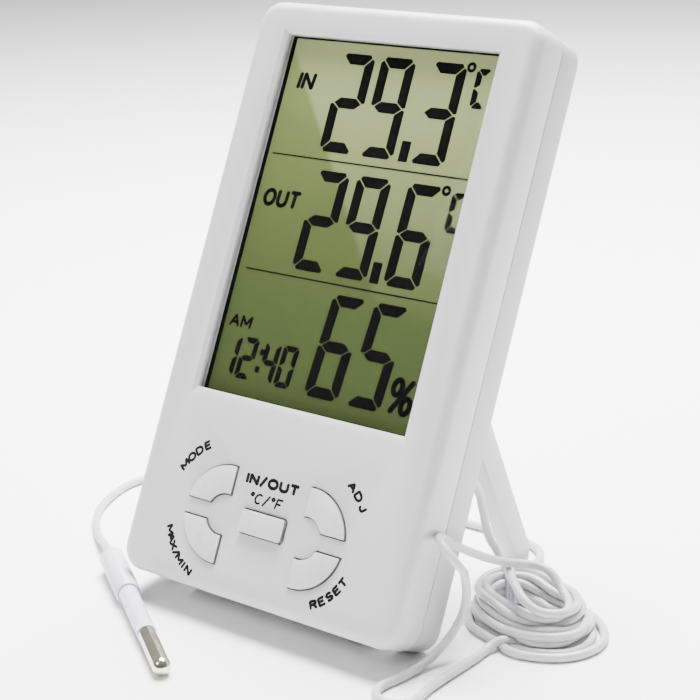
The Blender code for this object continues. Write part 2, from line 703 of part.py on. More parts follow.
def probe(plastic, neck_plastic, metal, ground):
    way = (PROBE_TIP - PROBE_TOP).normalized()
    turn = way.to_track_quat("Z", "Y").to_euler()
    reach = (PROBE_TIP - PROBE_TOP).length
    sleeve = [(0, SLEEVE_LENGTH), (SLEEVE_RADIUS - 0.4 * MM, SLEEVE_LENGTH),
              (SLEEVE_RADIUS, SLEEVE_LENGTH - 0.6 * MM), (SLEEVE_RADIUS, 1.2 * MM),
              (SLEEVE_RADIUS - MM, 0), (0, 0)]
    turned("probe_sleeve", sleeve, PROBE_TOP, ground, plastic, turn)
    start = SLEEVE_LENGTH + GAP
    end = SLEEVE_LENGTH + NECK_LENGTH
    neck = [(0, end), (NECK_RADIUS, end), (NECK_RADIUS, start), (0, start)]
    turned("probe_neck", neck, PROBE_TOP, ground, neck_plastic, turn)
    start = end + GAP
    cap = [(0, reach)] + [(CAP_RADIUS * math.sin(a), reach - CAP_RADIUS * (1 - math.cos(a)))
                          for a in (math.radians(d) for d in (25, 50, 75, 90))]
    cap += [(CAP_RADIUS, start), (0, start)]
    turned("probe_cap", cap, PROBE_TOP, ground, metal, turn)


def build():
    white = make_material("white_abs", (0.80, 0.81, 0.81), 0.4)
    inner = make_material("inner_abs", (0.76, 0.77, 0.77), 0.5)
    clear = make_material("clear_acrylic", (0.95, 0.97, 0.95), 0.05, alpha=0.3)
    glass = make_material("lcd_glass", (0.42, 0.52, 0.22), 0.2)
    silver = make_material("reflector_foil", (0.7, 0.72, 0.7), 0.35, 1.0)
    black = make_material("black_part", (0.03, 0.03, 0.03), 0.6)
    green = make_material("board_green", (0.05, 0.25, 0.1), 0.5)
    metal = make_material("bright_metal", (0.75, 0.74, 0.72), 0.2, 1.0)
    cable = make_material("cable_grey", (0.72, 0.73, 0.74), 0.35)
    lilac = make_material("probe_white", (0.80, 0.79, 0.86), 0.4)
    skin = make_material("battery_skin", (0.12, 0.3, 0.2), 0.4)
    back_centre = CASE_DEPTH - BACK_FILLET
    case_raise = (back_centre * math.sin(LEAN) - BACK_FILLET * math.cos(LEAN) + BACK_FILLET)
    case = make_empty("case_lean", (0, -BASE_FORWARD, case_raise), None, -LEAN)
    front_cover(case, white)
    rear_cover(case, inner)
    display_stack(case, clear, glass, silver, black)
    circuit_board(case, green)
    board_parts(case, black, metal, white)
    controls(case, white, black)
    battery_and_contacts(case, skin, metal)
    battery_door(case, inner)
    screws(case, metal)
    stand(case, case_raise, inner)
    cable_gland(case, cable)
    ground = make_empty("ground_frame", (0, -BASE_FORWARD, 0))
    probe(lilac, lilac, metal, ground)
    sensor_cable(cable, ground)


clear_scene()
parts = new_collection("max_min_thermometer")
cutters = new_collection("cutters")
build()
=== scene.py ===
import json
import math
import random

import bmesh
import bpy
import numpy as np
from mathutils import Matrix, Vector

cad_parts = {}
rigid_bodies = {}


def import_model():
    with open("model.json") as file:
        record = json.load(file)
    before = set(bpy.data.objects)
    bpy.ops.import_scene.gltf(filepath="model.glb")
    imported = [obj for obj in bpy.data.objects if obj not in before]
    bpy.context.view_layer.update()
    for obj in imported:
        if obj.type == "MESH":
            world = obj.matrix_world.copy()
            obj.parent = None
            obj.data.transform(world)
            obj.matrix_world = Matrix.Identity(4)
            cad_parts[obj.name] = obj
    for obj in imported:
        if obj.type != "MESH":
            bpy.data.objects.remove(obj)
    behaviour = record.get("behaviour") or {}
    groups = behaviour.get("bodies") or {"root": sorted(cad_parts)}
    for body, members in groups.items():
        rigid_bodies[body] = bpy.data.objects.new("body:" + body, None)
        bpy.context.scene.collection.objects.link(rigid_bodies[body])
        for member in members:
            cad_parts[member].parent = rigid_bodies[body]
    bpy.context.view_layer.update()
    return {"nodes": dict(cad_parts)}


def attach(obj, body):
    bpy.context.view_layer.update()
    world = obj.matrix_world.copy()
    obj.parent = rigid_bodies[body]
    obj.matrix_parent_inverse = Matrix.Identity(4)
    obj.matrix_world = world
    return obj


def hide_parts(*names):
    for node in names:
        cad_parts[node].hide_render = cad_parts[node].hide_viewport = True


for unwanted in list(bpy.data.objects):
    bpy.data.objects.remove(unwanted, do_unlink=True)
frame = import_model()
NODES = frame["nodes"]

MM = 0.001
# The case leans back about its bottom edge. Case points are (across, depth, height up the face) in mm.
LEAN = math.radians(26)
BASE_FORWARD = 42.12  # mm from the bottom edge of the case to the origin
CASE_DEPTH = 20.0
BACK_FILLET = 1.5
CASE_RAISE = (CASE_DEPTH - BACK_FILLET) * math.sin(LEAN) - BACK_FILLET * math.cos(LEAN) + BACK_FILLET
CASE = Matrix.Translation((0, -BASE_FORWARD * MM, CASE_RAISE * MM)) @ Matrix.Rotation(-LEAN, 4, "X")


# ---------- camera, light and floor ----------

CAMERA_PLACE = (0.2623, -0.33202, 0.2008)
CAMERA_RIGHT = (0.7979, 0.6023, -0.0241)
CAMERA_FORWARD = (-0.5842, 0.7629, -0.2768)
LENS_LENGTH = 92.09
SENSOR_WIDTH = 36
CAMERA_SHIFT = (-0.03, -0.10)

SKY_BRIGHT_SIDE = (-0.55, 0.55, 0.65)
SKY_EDGE = 0.9  # the dot product with the bright side at which the sky stops getting brighter
SKY_LOW = 0.10
SKY_HIGH = 0.6
# Each lamp: its place, what it faces, its width in metres and its power in watts.
LAMPS = {
    "top_lamp": ((-0.12, 0.25, 0.75), (0, 0, 0.05), 0.5, 55.0),
    "front_lamp": ((-0.30, -0.60, 0.60), (0, -0.02, 0.05), 0.3, 2.4),
    "back_lamp": ((0.10, 0.75, 0.65), (0, 0.05, 0.03), 0.6, 3.0),
}
FLOOR_HALF = 4.0
FLOOR_COLOUR = (0.93, 0.93, 0.93, 1)


def add_camera():
    """The photograph's viewing angle: from the front right, slightly above, through a long lens."""
    right = Vector(CAMERA_RIGHT).normalized()
    forward = Vector(CAMERA_FORWARD).normalized()
    up = right.cross(forward).normalized()
    turn = Matrix((right, up, -forward)).transposed().to_4x4()
    data = bpy.data.cameras.new("camera")
    data.lens = LENS_LENGTH
    data.sensor_width = SENSOR_WIDTH
    data.shift_x, data.shift_y = CAMERA_SHIFT
    data.clip_start = 0.01
    data.clip_end = 10
    camera = bpy.data.objects.new("camera", data)
    camera.matrix_world = Matrix.Translation(CAMERA_PLACE) @ turn
    bpy.context.scene.collection.objects.link(camera)
    bpy.context.scene.camera = camera


def add_area_light(name, place, target, size, power):
    """A soft square lamp at place, facing target."""
    data = bpy.data.lights.new(name, "AREA")
    data.size = size
    data.energy = power
    lamp = bpy.data.objects.new(name, data)
    lamp.location = place
    lamp.rotation_mode = "QUATERNION"
    lamp.rotation_quaternion = (Vector(target) - Vector(place)).to_track_quat("-Z", "Y")
    bpy.context.scene.collection.objects.link(lamp)


def add_sky():
    """A white sky, brightest above and behind on the left, and dimmest low in front on the right."""
    world = bpy.data.worlds.new("studio")
    bpy.context.scene.world = world
    world.use_nodes = True
    tree = world.node_tree
    place = tree.nodes.new("ShaderNodeTexCoord").outputs["Generated"]
    brightness = direction_share(tree, place, Vector(SKY_BRIGHT_SIDE).normalized())
    strength = ranged(tree, brightness, (-SKY_EDGE, SKY_EDGE), (SKY_LOW, SKY_HIGH))
    background = tree.nodes["Background"]
    tree.links.new(strength, background.inputs["Strength"])
    background.inputs["Color"].default_value = (1, 1, 1, 1)


def add_lights():
    """A pale studio: a strong soft lamp above, and weak ones in front on the left and behind."""
    add_sky()
    for name, (place, target, size, power) in LAMPS.items():
        add_area_light(name, place, target, size, power)


def add_floor():
    """A plain pale floor."""
    mesh = bpy.data.meshes.new("floor")
    half = FLOOR_HALF
    corners = [(-half, -half, 0), (half, -half, 0), (half, half, 0), (-half, half, 0)]
    mesh.from_pydata(corners, [], [(0, 1, 2, 3)])
    floor = bpy.data.objects.new("floor", mesh)
    bpy.context.scene.collection.objects.link(floor)
    material = bpy.data.materials.new("floor")
    material.use_nodes = True
    shader = material.node_tree.nodes["Principled BSDF"]
    shader.inputs["Base Color"].default_value = FLOOR_COLOUR
    shader.inputs["Roughness"].default_value = 0.9
    floor.data.materials.append(material)


# ---------- the sensor cable's route ----------

CABLE_DIAMETER = 2.1  # mm
# Floor points in mm; y is measured from the case's bottom edge line, before BASE_FORWARD is taken off.
LEAD = [(38.3, 39.6, 36.0), (38.35, 41.6, 34.4), (38.5, 43.2, 31), (38.9, 44.2, 26), (39.8, 45, 20),
        (41.8, 45.6, 16.2), (43.6, 45.8, 13.7)]
LOOP = [(52.6, 50.4, 12.8), (49.0, 47.0, 13.9), (46.8, 43, 15.3), (45.2, 38, 17.6), (44.4, 32.4, 21),
        (44.3, 27, 24.4), (44.5, 22, 27.4), (45.4, 17.4, 29.9), (47, 14.4, 31), (48.7, 14.2, 30),
        (49.6, 16.2, 27.6), (49.7, 18.8, 24.3), (49.5, 20.9, 20.4), (49.2, 21.9, 16.4),
        (48.7, 21.8, 12.6), (47.9, 20.6, 9.2), (46.8, 18.3, 6), (45.6, 15.2, 3.4), (44.6, 11.2, 1.8),
        (43.8, 6, 1.25), (42.9, 0, 1.2), (43.2, -5.6, 1.2), (47, -8.4, 1.2), (50.8, -5.6, 1.2),
        (51.4, 4, 1.2), (51.8, 14, 1.2), (52.2, 23, 1.2), (52.5, 29.5, 1.2)]
TAIL = [(45.8, 55.8, 1.2), (41.4, 57.8, 1.2), (38.8, 62, 1.2), (36.9, 68, 1.2), (36.2, 75, 1.2),
        (31, 80.6, 1.2), (18, 83, 1.2), (0, 83.2, 1.2), (-20, 83, 1.2), (-40, 82, 1.2), (-58, 79, 1.2),
        (-74, 73, 1.2), (-85, 64, 1.2), (-89.5, 53, 1.2), (-87, 41, 1.2), (-81, 30, 1.2),
        (-70.6, 20.2, 1.5), (-62.6, 14.8, 2.8), (-54.5, 9.2, 3.7)]
TO_ORIGIN = np.array((0, -BASE_FORWARD, 0))
CABLE_STEP = 2.4  # mm between the curve's points
KNOT_STEPS = 24  # trial points between two knots

# The hank is wound round two centres. Its upper turns stack downwards and then climb back inside
# themselves, and its lower turns lie on the floor, each outside the one before.
HANK_LEFT = np.array((47.5, 44.5))
HANK_RIGHT = np.array((57.0, 41.8))
LOWEST = 1.15
HANK_HEIGHT = 14.0
UPPER_TURNS = 10.39
UPPER_START = 0.86  # the share of a turn, round from the right end, at which the winding starts
OUTER_TURNS = 5
OUTER_RADIUS = 8.9
INWARD_STEP = 2.2
UPPER_TOP = 13.2
UPPER_FALL = 1.98  # mm in each turn
CLIMB_START = 5.2  # turns made
CLIMB_FOOT = 3.3
CLIMB = 1.9  # mm in each turn
LOWER_TURNS = 2.4
LOWER_START = 0.87
LOWER_RADIUS = 7.2
LOWER_GROWTH = 2.15  # mm of radius in each turn
STRETCH_RANGE = (-1.0, 1.8)  # mm by which the ends of a turn lie past the two centres
SHIFT_RANGE = (-0.6, 0.6)  # mm by which a whole turn lies to one side
END_FAN = 0.22
END_DROP = 0.14
SWAY_HEIGHT = 8.0  # mm of height in which the turns drift to one side and back
SWAY_ALONG = 0.6
SWAY_ALONG_PACE = 0.6  # the drift along the hank is slower than the one across it
SWAY_ACROSS = 0.8
RING_STEPS = 28  # route points in each turn

SETTLE_ROUNDS = 220
TIGHTEST = 5.9  # mm, the least bend radius that settling aims at for the cable's centre line
STRAND_GAP = CABLE_DIAMETER * 1.02
FALL_STEP = 0.02  # mm in each round
# The shares of a fault that one round puts right.
HOMING = 0.12
SMOOTHING = 0.15
PUSH_SHARE = 0.45
BEND_SHARE = 0.36
BEND_SPANS = (2, 3, 4, 5)  # steps over which a bend is measured
LONGEST_MOVE = 0.5  # mm in each round
HELD_AT_START = 3.5  # the line does not move before this knot, counted from the case
HELD_AT_END = 5  # nor after this one, counted back from the number of knots
TINY = 1e-9  # keeps divisions by a length away from zero


def smooth_line(knots, step):
    """Points about step apart on a smooth curve through the knots, each with its place among them."""
    knots = np.array(knots, float)
    padded = np.vstack([2 * knots[0] - knots[1], knots, 2 * knots[-1] - knots[-2]])
    fine = []
    for number, (a, b, c, d) in enumerate(zip(padded, padded[1:], padded[2:], padded[3:])):
        for t in np.linspace(0, 1, KNOT_STEPS, endpoint=False):
            point = 0.5 * (2 * b + (c - a) * t + (2 * a - 5 * b + 4 * c - d) * t * t
                           + (3 * b - a - 3 * c + d) * t ** 3)
            fine.append((*point, number + t))
    fine.append((*knots[-1], len(knots) - 1))
    return spaced(np.array(fine), step)


def spaced(line, step):
    """The same line with its points step apart."""
    along = np.concatenate([[0], np.cumsum(np.linalg.norm(np.diff(line[:, :3], axis=0), axis=1))])
    places = np.linspace(0, along[-1], max(2, round(along[-1] / step) + 1))
    return np.stack([np.interp(places, along, column) for column in line.T], axis=1)


def hank_point(share, radius, height, stretch, shift):
    """A point on an oblong turn. share runs anticlockwise from 0 to 1, from the right end."""
    axis = (HANK_RIGHT - HANK_LEFT) / np.linalg.norm(HANK_RIGHT - HANK_LEFT)
    side = np.array((-axis[1], axis[0]))
    half = np.linalg.norm(HANK_RIGHT - HANK_LEFT) / 2 + stretch
    middle = (HANK_LEFT + HANK_RIGHT) / 2 + np.array(shift)
    straight = 2 * half
    bend = math.pi * radius
    place = (share % 1) * 2 * (straight + bend) + bend / 2
    turned_back = place % (straight + bend)
    sign = 1 if place % (2 * (straight + bend)) < straight + bend else -1
    if turned_back < bend:
        angle = turned_back / radius - math.pi / 2
        along = half + radius * math.cos(angle)
        across = radius * math.sin(angle)
    else:
        along = half - (turned_back - bend)
        across = radius
    # towards the right end the strands sink, and the lower ones fan out further
    right = (1 + sign * along / (half + radius)) / 2
    fan = 1 + END_FAN * right * (1 - height / HANK_HEIGHT)
    sway = 2 * math.pi * (height - LOWEST) / SWAY_HEIGHT
    flat = middle + axis * (sign * along * fan + SWAY_ALONG * math.sin(SWAY_ALONG_PACE * sway))
    flat = flat + side * (sign * across * fan + SWAY_ACROSS * math.sin(sway))
    return (flat[0], flat[1], LOWEST + (height - LOWEST) * (1 - END_DROP * right ** 2))


def winding(turns, start, radius, height, seed):
    """Route points of some turns. radius and height are functions of the number of turns made."""
    rolls = random.Random(seed)
    count = math.ceil(turns) + 2
    stretch = [rolls.uniform(*STRETCH_RANGE) for _ in range(count)]
    shift = [np.array((rolls.uniform(*SHIFT_RANGE), rolls.uniform(*SHIFT_RANGE))) for _ in range(count)]
    points = []
    steps = round(turns * RING_STEPS)
    for k in range(steps + 1):
        made = turns * k / steps
        whole = int(made)
        part = made - whole
        points.append(hank_point(
            start + made, radius(made), height(made),
            stretch[whole] * (1 - part) + stretch[whole + 1] * part,
            shift[whole] * (1 - part) + shift[whole + 1] * part))
    return points


def upper_radius(made):
    """The outer turns are all as wide, and the later ones lie inside them."""
    return OUTER_RADIUS - INWARD_STEP * min(1, max(0, made - OUTER_TURNS))


def upper_height(made):
    """The outer turns go down, and the inner ones come up again."""
    if made < OUTER_TURNS:
        return UPPER_TOP - UPPER_FALL * made
    return CLIMB_FOOT + CLIMB * max(0, made - CLIMB_START)


def lower_radius(made):
    """Each lower turn is wider than the one before."""
    return LOWER_RADIUS + LOWER_GROWTH * made


def lower_height(made):
    """The lower turns all lie on the floor, however many are made."""
    return LOWEST


def push_apart(line, far, loose):
    """Moves strands that overlap away from each other."""
    apart = line[:, None, :] - line[None, :, :]
    distance = np.sqrt((apart ** 2).sum(axis=2)) + TINY
    push = np.where(far & (distance < STRAND_GAP), (STRAND_GAP - distance) / distance, 0)
    line += PUSH_SHARE * (apart * push[:, :, None]).sum(axis=1) * loose


def open_bends(line, step, loose):
    """Moves points a few steps apart away from each other where the bend is tighter than TIGHTEST."""
    for span in BEND_SPANS:
        least = 2 * TIGHTEST * math.sin(span * step / (2 * TIGHTEST))
        away = line[span:] - line[:-span]
        size = np.linalg.norm(away, axis=1, keepdims=True) + TINY
        fix = BEND_SHARE * np.maximum(0, least - size) / size * away
        line[span:] += fix * loose[span:]
        line[:-span] -= fix * loose[:-span]


def keep_steps(line, step, loose):
    """Brings neighbouring points back to one step apart, first the even pairs and then the odd ones."""
    for first in (0, 1, 0, 1):
        a = slice(first, len(line) - 1, 2)
        b = slice(first + 1, len(line), 2)
        away = line[b] - line[a]
        size = np.linalg.norm(away, axis=1, keepdims=True) + TINY
        weight = loose[a] + loose[b] + TINY
        fix = (size - step) / size * away / weight
        line[a] += fix * loose[a]
        line[b] -= fix * loose[b]


def settle(line, free, held, step):
    """Lets the free points fall and push each other apart until the strands lie side by side.

    The other points are drawn back to their places, and the held ones do not move.
    """
    line = line.copy()
    home = line.copy()
    order = np.arange(len(line))
    far = np.abs(order[:, None] - order[None, :]) > math.ceil(2 * STRAND_GAP / step)
    loose = np.where(held, 0.0, 1.0)[:, None]
    falls = np.where(free, FALL_STEP, 0.0)
    homing = np.where(free, 0.0, HOMING)[:, None]
    for _ in range(SETTLE_ROUNDS):
        before = line.copy()
        line[:, 2] -= falls
        line += homing * (home - line)
        line[1:-1] += SMOOTHING * ((line[:-2] + line[2:]) / 2 - line[1:-1]) * loose[1:-1]
        push_apart(line, far, loose)
        open_bends(line, step, loose)
        keep_steps(line, step, loose)
        line[:, 2] = np.where(held, line[:, 2], np.maximum(line[:, 2], STRAND_GAP / 2))
        line = before + np.clip(line - before, -LONGEST_MOVE, LONGEST_MOVE)
    return line


def cable_line():
    """The whole cable from the case to the probe, in mm, and which of its points are in the hank."""
    upper = winding(UPPER_TURNS, UPPER_START, upper_radius, upper_height, seed=3)
    lower = winding(LOWER_TURNS, LOWER_START, lower_radius, lower_height, seed=5)
    runs = [(LEAD, False), (upper, True), (LOOP, False), (lower, True), (TAIL, False)]
    knots = [knot for run, wound in runs for knot in run]
    in_hank = [wound for run, wound in runs for _ in run]
    line = smooth_line(knots, CABLE_STEP)
    free = np.array([in_hank[int(place)] and in_hank[min(len(knots) - 1, int(place) + 1)]
                     for place in line[:, 3]])
    held = (line[:, 3] < HELD_AT_START) | (line[:, 3] > len(knots) - HELD_AT_END)
    step = np.linalg.norm(np.diff(line[:, :3], axis=0), axis=1).mean()
    return settle(line[:, :3], free, held, step), free


# ---------- the cable and its tie ----------

CABLE_CURVE_STEPS = 3  # drawn segments between two of the curve's points
TIE_HEADING = 132  # degrees, the way from the hank's left centre in which the tie crosses the strands
TIE_RADIUS = 0.5
TIE_TURNS = (-0.9, 0.0, 0.85)  # mm of each turn of the tie to one side of its heading
TIE_WIDTH = 1.5  # mm to each side of a turn in which strands count as under it
TIE_NEAREST = 1  # mm from the left centre
TIE_STEP = 0.9
STRAND_SIDES = 12


def new_tube(name, radius, roundness):
    """An empty curve that is drawn as a tube, its radius in mm."""
    data = bpy.data.curves.new(name, "CURVE")
    data.dimensions = "3D"
    data.bevel_depth = radius * MM
    data.bevel_resolution = roundness
    return data


def add_spline(data, line, order):
    """Adds a smooth spline along a line of points in mm."""
    spline = data.splines.new("NURBS")
    spline.points.add(len(line) - 1)
    for point, place in zip(spline.points, line):
        point.co = (*(place * MM), 1)
    spline.order_u = order
    return spline


def hull(points):
    """The convex outline of flat points, anticlockwise."""
    points = sorted(set(points))
    found = []
    for row in (points, points[::-1]):
        side = []
        for x, z in row:
            while len(side) > 1 and ((side[-1][0] - side[-2][0]) * (z - side[-2][1])
                                     - (side[-1][1] - side[-2][1]) * (x - side[-2][0])) <= 0:
                side.pop()
            side.append((x, z))
        found += side[:-1]
    return found


def tie_outline(strands):
    """A closed outline that fits round strands, each given as its reach from the centre and its height."""
    edge = CABLE_DIAMETER / 2 + TIE_RADIUS
    ring = []
    for reach, height in strands:
        for k in range(STRAND_SIDES):
            angle = 2 * math.pi * k / STRAND_SIDES
            ring.append((round(reach + edge * math.cos(angle), 4),
                         round(max(TIE_RADIUS, height + edge * math.sin(angle)), 4)))
    outline = hull(ring)
    outline.append(outline[0])
    return outline


def cable_tie(strands, material):
    """A soft lilac tie wound round the strands at the hank's left end."""
    heading = math.radians(TIE_HEADING)
    outward = np.array((math.cos(heading), math.sin(heading)))
    along = np.array((-outward[1], outward[0]))
    from_centre = strands[:, :2] - HANK_LEFT
    reaches = from_centre @ outward
    data = new_tube("cable_tie", TIE_RADIUS, 3)
    for shift in TIE_TURNS:
        under = (np.abs(from_centre @ along - shift) < TIE_WIDTH) & (reaches > TIE_NEAREST)
        outline = tie_outline(zip(reaches[under], strands[under, 2]))
        middle = HANK_LEFT + along * shift
        ring = np.array([(*(middle + outward * reach), height) for reach, height in outline])
        spline = add_spline(data, spaced(ring, TIE_STEP)[:-1] + TO_ORIGIN, 3)
        spline.use_cyclic_u = True
    tie = bpy.data.objects.new("cable_tie", data)
    bpy.context.scene.collection.objects.link(tie)
    data.materials.append(material)
    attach(tie, "case")


def sensor_cable(material, tie_material):
    """One curve for the whole cable, and the tie round its hank."""
    line, in_hank = cable_line()
    cable_tie(line[in_hank], tie_material)
    line = line + TO_ORIGIN
    data = new_tube("sensor_cable", CABLE_DIAMETER / 2, 5)
    data.resolution_u = CABLE_CURVE_STEPS
    data.use_fill_caps = True
    spline = add_spline(data, line, 4)
    spline.use_endpoint_u = True
    cable = bpy.data.objects.new("sensor_cable", data)
    bpy.context.scene.collection.objects.link(cable)
    cable.data.materials.append(material)
    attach(cable, "case")
    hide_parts("cable_lead", "cable_hank", "cable_loop", "cable_tail")


# ---------- shader helpers ----------


def ranged(tree, value, old, new=(0, 1), smooth=False):
    """A value mapped from the range old to the range new."""
    node = tree.nodes.new("ShaderNodeMapRange")
    if smooth:
        node.interpolation_type = "SMOOTHSTEP"
    node.inputs["From Min"].default_value, node.inputs["From Max"].default_value = old
    node.inputs["To Min"].default_value, node.inputs["To Max"].default_value = new
    tree.links.new(value, node.inputs["Value"])
    return node.outputs["Result"]


def direction_share(tree, vector, direction):
    """How far a vector points in a fixed direction: their dot product."""
    node = tree.nodes.new("ShaderNodeVectorMath")
    node.operation = "DOT_PRODUCT"
    node.inputs[1].default_value = direction
    tree.links.new(vector, node.inputs[0])
    return node.outputs["Value"]


def blended(tree, share, first, second):
    """The colour that lies share of the way from first to second, each one a colour or a socket."""
    node = tree.nodes.new("ShaderNodeMix")
    node.data_type = "RGBA"
    tree.links.new(share, node.inputs["Factor"])
    for name, colour in (("A", first), ("B", second)):
        if isinstance(colour, tuple):
            node.inputs[name].default_value = (*colour, 1)
        else:
            tree.links.new(colour, node.inputs[name])
    return node.outputs["Result"]


class Paint:
    """A Principled material and short ways to add procedural detail to it."""

    def __init__(self, name, colour, roughness, metallic=0.0):
        self.material = bpy.data.materials.new(name)
        self.material.use_nodes = True
        self.tree = self.material.node_tree
        self.shader = self.tree.nodes["Principled BSDF"]
        self.colour = colour
        self.roughness = roughness
        self.set(Base_Color=(*colour, 1), Roughness=roughness, Metallic=metallic)
        self.place = self.tree.nodes.new("ShaderNodeTexCoord").outputs["Object"]

    def set(self, **values):
        """Sets shader sockets; a name's underscores stand for spaces."""
        for name, value in values.items():
            self.shader.inputs[name.replace("_", " ")].default_value = value
        return self

    def link(self, value, name):
        """Drives a shader socket by another node's value."""
        self.tree.links.new(value, self.shader.inputs[name])
        return self

    def noise(self, scale, detail=2.0):
        """A noise value over the object, scale in features per metre."""
        node = self.tree.nodes.new("ShaderNodeTexNoise")
        node.inputs["Scale"].default_value = scale
        node.inputs["Detail"].default_value = detail
        self.tree.links.new(self.place, node.inputs["Vector"])
        return node.outputs["Fac"]

    def spread(self, noise, low, high):
        """A noise value mapped to the range from low to high."""
        return ranged(self.tree, noise, (0.3, 0.7), (low, high))

    def vary_roughness(self, scale, amount):
        """Lets the roughness wander by amount to both sides."""
        value = self.spread(self.noise(scale), self.roughness - amount, self.roughness + amount)
        return self.link(value, "Roughness")

    def vary_colour(self, scale, other, share):
        """Blends from the base colour towards another by slow noise."""
        amount = self.spread(self.noise(scale, detail=3.0), 0, share)
        return self.link(blended(self.tree, amount, self.colour, other), "Base Color")

    def bump(self, scale, height, detail=2.0):
        """A fine surface texture, height in metres."""
        node = self.tree.nodes.new("ShaderNodeBump")
        node.inputs["Strength"].default_value = 1.0
        node.inputs["Distance"].default_value = height
        self.tree.links.new(self.noise(scale, detail), node.inputs["Height"])
        return self.link(node.outputs["Normal"], "Normal")


def tinted(colour, *factors):
    """The colour with each of its parts multiplied by a factor."""
    return tuple(part * factor for part, factor in zip(colour, factors))


# ---------- materials ----------

# Painted shade: the dark grey given to the keys' side walls, where the narrow gaps round the keys are
# shaded.
KEY_GAP_SHADE_COLOUR = (0.12, 0.12, 0.12)
INK_COLOUR = (0.004, 0.004, 0.004)
# The display's colour from its foot to its top, with painted shading: darker at the foot and lighter at
# the top.
LCD_FOOT = 0.048
LCD_TOP = 0.142
LCD_SHADING_STOPS = [
    (0.0, (0.044, 0.060, 0.020)),
    (0.25, (0.052, 0.072, 0.024)),
    (0.50, (0.078, 0.102, 0.033)),
    (0.75, (0.122, 0.155, 0.050)),
    (1.0, (0.200, 0.245, 0.088)),
]
# The pale reflection lies to the upper right of a slanting edge and fades downwards.
GLARE_SLANT = (1.357, 0, 1)
GLARE_EDGE = (0.0940, 0.0975)
GLARE_FADE = (0.075, 0.125)
GLARE_SHARE = 0.34
GLARE_COLOUR = (0.45, 0.50, 0.25)


def case_plastic(name, colour, roughness):
    """White moulded ABS: satin, with a very fine spark-eroded grain and faint flow marks."""
    paint = Paint(name, colour, roughness)
    paint.vary_colour(scale=38, other=tinted(colour, 0.955, 0.955, 0.945), share=0.7)
    paint.vary_roughness(scale=120, amount=0.045)
    paint.bump(scale=3800, height=0.000012, detail=3.0)
    return paint.set(IOR=1.53).material


def glossy_plastic(name, colour, roughness):
    """Smooth moulded plastic with slightly uneven colour and gloss."""
    paint = Paint(name, colour, roughness)
    paint.vary_colour(scale=160, other=tinted(colour, 0.93, 0.93, 0.93), share=0.6)
    paint.vary_roughness(scale=300, amount=0.04)
    paint.bump(scale=1500, height=0.000004)
    return paint.set(IOR=1.5).material


def key_plastic(name, colour, roughness):
    """Glossy white key plastic, its side walls in the narrow gap painted darker as shade."""
    material = glossy_plastic(name, colour, roughness)
    tree = material.node_tree
    base = tree.nodes["Principled BSDF"].inputs["Base Color"]
    normal = tree.nodes.new("ShaderNodeNewGeometry").outputs["True Normal"]
    facing = direction_share(tree, normal, (0, -math.cos(LEAN), math.sin(LEAN)))
    share = ranged(tree, facing, (0.25, 0.75))
    # Faces that turn away from the front are blended towards painted shade.
    tree.links.new(blended(tree, share, KEY_GAP_SHADE_COLOUR, base.links[0].from_socket), base)
    return material


def matt_black(name, shine):
    """Black print that hardly reflects; shine is its specular level."""
    paint = Paint(name, INK_COLOUR, 0.5)
    paint.vary_roughness(scale=300, amount=0.04)
    return paint.set(Specular_IOR_Level=shine).material


def metal(name, colour, roughness):
    """Plated metal with fine drawn marks."""
    paint = Paint(name, colour, roughness, metallic=1.0)
    paint.vary_colour(scale=240, other=tinted(colour, 0.8, 0.8, 0.8), share=0.5)
    paint.vary_roughness(scale=500, amount=roughness * 0.35)
    return paint.bump(scale=900, height=0.000006).material


def clear_window():
    """The thin clear plastic over the display."""
    paint = Paint("clear_window", (0.02, 0.02, 0.02), 0.03)
    paint.vary_roughness(scale=40, amount=0.01)
    return paint.set(Alpha=0.025, IOR=1.49).material


def height_colour(tree, height):
    """The display's colour at a height up the case, with its painted shading."""
    ramp = tree.nodes.new("ShaderNodeValToRGB")
    tree.links.new(ranged(tree, height, (LCD_FOOT, LCD_TOP)), ramp.inputs["Fac"])
    elements = ramp.color_ramp.elements
    while len(elements) < len(LCD_SHADING_STOPS):
        elements.new(0.5)
    for element, (share, colour) in zip(elements, LCD_SHADING_STOPS):
        element.position = share
        element.color = (*colour, 1)
    return ramp.outputs["Color"]


def display_sheet():
    """The display's polariser: yellow-green, with painted shading that is lighter at the top, and one
    painted pale slanting reflection.
    """
    paint = Paint("display_sheet", (0.2, 0.25, 0.1), 0.28)
    tree = paint.tree
    split = tree.nodes.new("ShaderNodeSeparateXYZ")
    tree.links.new(paint.place, split.inputs["Vector"])
    height = split.outputs["Z"]
    glare = tree.nodes.new("ShaderNodeMath")
    glare.operation = "MULTIPLY"
    past_edge = ranged(tree, direction_share(tree, paint.place, GLARE_SLANT), GLARE_EDGE, smooth=True)
    tree.links.new(past_edge, glare.inputs[0])
    tree.links.new(ranged(tree, height, GLARE_FADE, (0, GLARE_SHARE)), glare.inputs[1])
    colour = blended(tree, glare.outputs["Value"], height_colour(tree, height), GLARE_COLOUR)
    paint.link(colour, "Base Color")
    paint.bump(scale=5000, height=0.000003)
    return paint.set(Specular_IOR_Level=0.03).material


# ---------- mesh helpers ----------


def add_mesh(name, work, material):
    """Makes an object that rides on the case of a finished bmesh in case coordinates."""
    bmesh.ops.recalc_face_normals(work, faces=work.faces)
    mesh = bpy.data.meshes.new(name)
    work.to_mesh(mesh)
    work.free()
    made = bpy.data.objects.new(name, mesh)
    bpy.context.scene.collection.objects.link(made)
    made.matrix_world = CASE
    mesh.materials.append(material)
    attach(made, "case")


